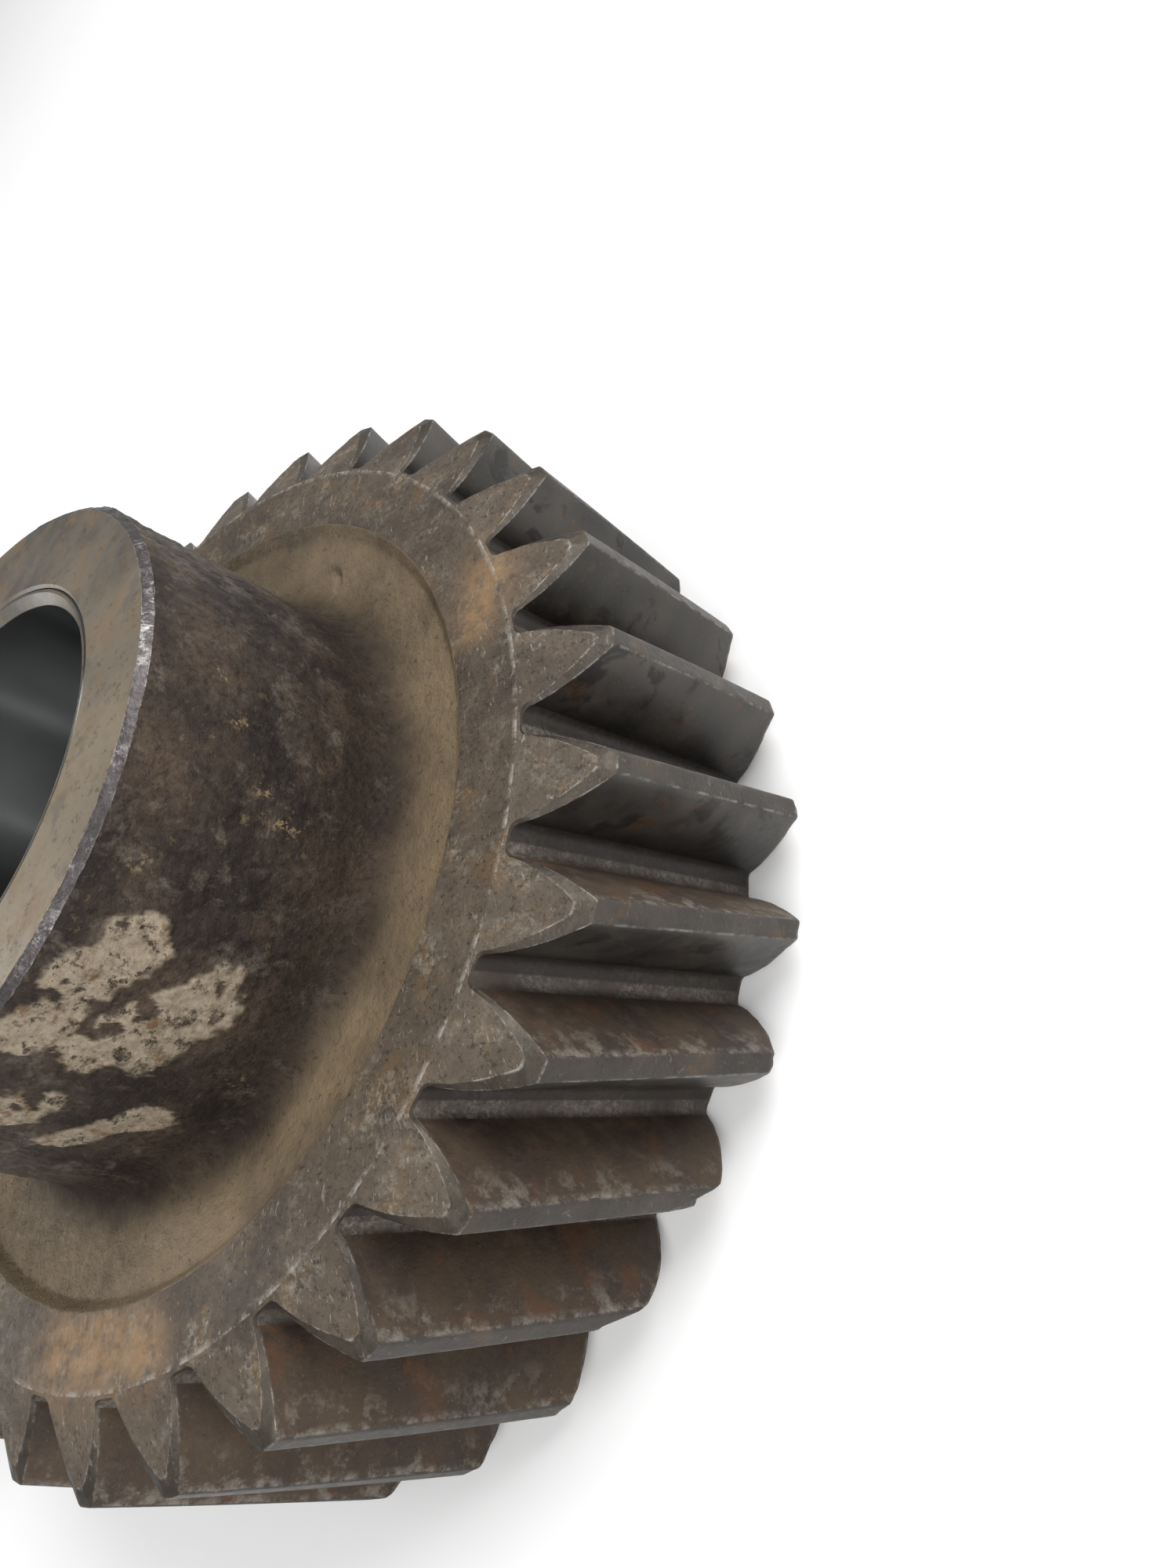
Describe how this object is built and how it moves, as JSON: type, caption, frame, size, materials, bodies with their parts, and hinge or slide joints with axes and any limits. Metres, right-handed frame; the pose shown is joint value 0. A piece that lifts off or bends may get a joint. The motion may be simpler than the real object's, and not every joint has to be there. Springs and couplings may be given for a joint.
{
  "type": "helical gear pair",
  "caption": "Helical gear with a long hub meshing with a smaller pinion, each turning on a plain bush whose bore takes a shaft.",
  "frame": {"origin": "on the large gear's axis at its back face", "axes": "+Z along the large gear's axis towards its hub; the pinion is at -X"},
  "size_m": [0.246, 0.1588, 0.0812],
  "materials": {
    "forged_steel": "forged and hobbed steel, brown with age, rubbed bright on the edges",
    "polished_steel": "dark ground steel, oily"
  },
  "bodies": {
    "bushes": {"gear_bush": "polished_steel", "pinion_bush": "polished_steel"},
    "gear": {"gear": "forged_steel"},
    "pinion": {"pinion": "forged_steel"}
  },
  "joints": [
    {"name": "gear_spin", "type": "hinge", "parent": "bushes", "child": "gear", "pos_m": [0, 0, 0], "axis": [0, 0, 1], "continuous": true},
    {"name": "pinion_spin", "type": "hinge", "parent": "bushes", "child": "pinion", "pos_m": [-0.11803, 0, 0], "axis": [0, 0, 1], "continuous": true}
  ],
  "couplings": [
    {"joint": "pinion_spin", "follows": "gear_spin", "ratio": -1.7059}
  ]
}
